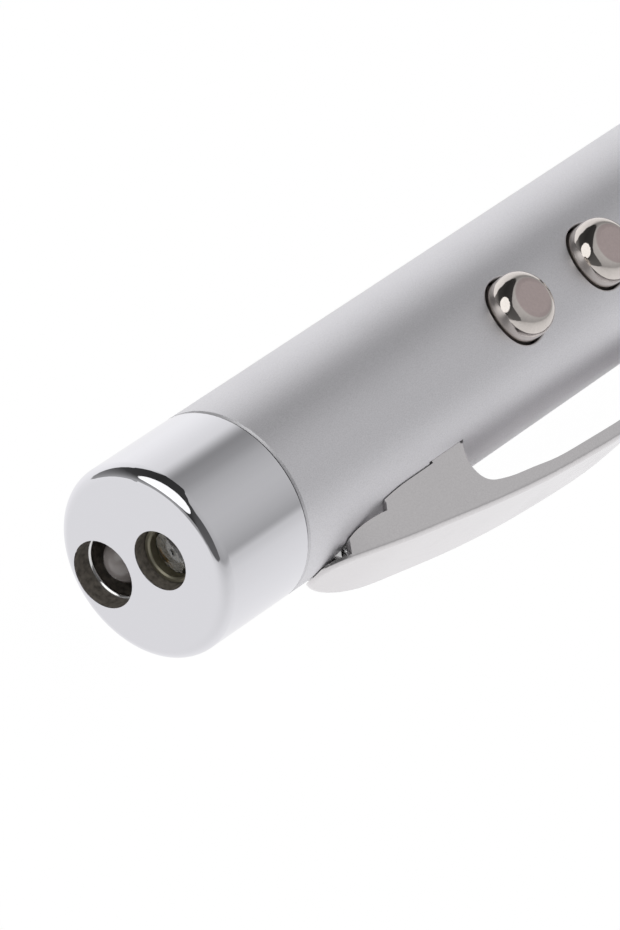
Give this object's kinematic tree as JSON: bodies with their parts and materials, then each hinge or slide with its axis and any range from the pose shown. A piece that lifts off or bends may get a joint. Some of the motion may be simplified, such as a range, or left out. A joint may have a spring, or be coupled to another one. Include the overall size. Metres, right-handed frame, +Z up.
{
  "type": "laser pointer",
  "caption": "Pen-shaped laser pointer with a lamp beside the laser, press buttons, a sprung pocket clip and a twist-out ball point.",
  "frame": {"origin": "middle of the underside of the pen's box, on the surface that it lies on", "axes": "+X along the pen from the head's face to the writing tip, +Z up, -Y towards the clip's side; the pen rests on its round side and the clip's edge"},
  "size_m": [0.14, 0.017, 0.014],
  "materials": {
    "chrome": "mirror polished chrome plate",
    "silver_paint": "satin silver metallic paint",
    "polished_steel": "polished nickel plate",
    "nickel": "warm nickel plate",
    "brass": "turned brass",
    "dark_brass": "darkened turned brass",
    "lens_glass": "clear moulded lens",
    "lamp_resin": "clear lamp resin",
    "spring_steel": "drawn spring wire",
    "gold_plate": "gold flash",
    "tinned_steel": "tinned",
    "black_plastic": "matt moulded",
    "chip_black": "matt epoxy",
    "board_green": "solder mask",
    "white_plastic": "moulded acetal",
    "guide_steel": "turned",
    "rubber": "matt rubber",
    "refill_plastic": "clear tube with ink",
    "carbide": "polished ball",
    "cell_steel": "nickel plated can"
  },
  "bodies": {
    "front_half": {"head_cap": "chrome", "laser_housing": "brass", "lens_ring": "dark_brass", "laser_lens": "lens_glass", "lens_spring": "spring_steel", "laser_diode": "gold_plate", "diode_leads": "gold_plate", "lamp_body": "lamp_resin", "lamp_leads": "tinned_steel", "optics_holder": "black_plastic", "circuit_board": "board_green", "driver_parts": "chip_black", "upper_barrel": "silver_paint", "laser_switch": "black_plastic", "lamp_switch": "black_plastic", "battery_contact": "tinned_steel", "battery_sleeve": "white_plastic", "cell_1": "cell_steel", "cell_2": "cell_steel", "cell_3": "cell_steel", "cell_4": "cell_steel"},
    "pocket_clip": {"clip": "polished_steel"},
    "laser_key": {"laser_button": "nickel", "laser_plunger": "black_plastic"},
    "lamp_key": {"lamp_button": "nickel", "lamp_plunger": "black_plastic"},
    "rear_half": {"coupling": "brass", "grip_ring": "rubber", "middle_ring": "chrome", "guide_tube": "guide_steel", "circlip": "spring_steel", "battery_spring": "spring_steel"},
    "twist_barrel": {"lower_barrel": "silver_paint", "cam_sleeve": "white_plastic", "nose_cone": "chrome", "refill_spring": "spring_steel"},
    "refill": {"follower": "white_plastic", "refill_tube": "refill_plastic", "refill_tip": "brass", "refill_ball": "carbide"}
  },
  "joints": [
    {"name": "clip_flex", "type": "hinge", "parent": "front_half", "child": "pocket_clip", "pos_m": [-0.06001, -0.00379, 0.00446], "axis": [0, 0.2848, -0.9586], "range_deg": [0, 3], "stiffness_Nm_per_rad": 2},
    {"name": "laser_button_press", "type": "slide", "parent": "front_half", "child": "laser_key", "axis": [0, 0.3608, -0.9327], "range_m": [0, 0.0005], "stiffness_N_per_m": 600},
    {"name": "lamp_button_press", "type": "slide", "parent": "front_half", "child": "lamp_key", "axis": [0, 0.3608, -0.9327], "range_m": [0, 0.0005], "stiffness_N_per_m": 600},
    {"name": "rear_half_pull", "type": "slide", "parent": "front_half", "child": "rear_half", "axis": [1, 0, 0], "range_m": [0, 0.022]},
    {"name": "barrel_twist", "type": "hinge", "parent": "rear_half", "child": "twist_barrel", "pos_m": [0.00401, 0.00223, 0.00625], "axis": [1, 0, 0], "range_deg": [0, 160]},
    {"name": "refill_slide", "type": "slide", "parent": "rear_half", "child": "refill", "axis": [1, 0, 0], "range_m": [0, 0.005], "deforming": ["refill_spring"]}
  ],
  "couplings": [
    {"joint": "refill_slide", "follows": "barrel_twist", "m_per_rad": 0.0017905}
  ]
}
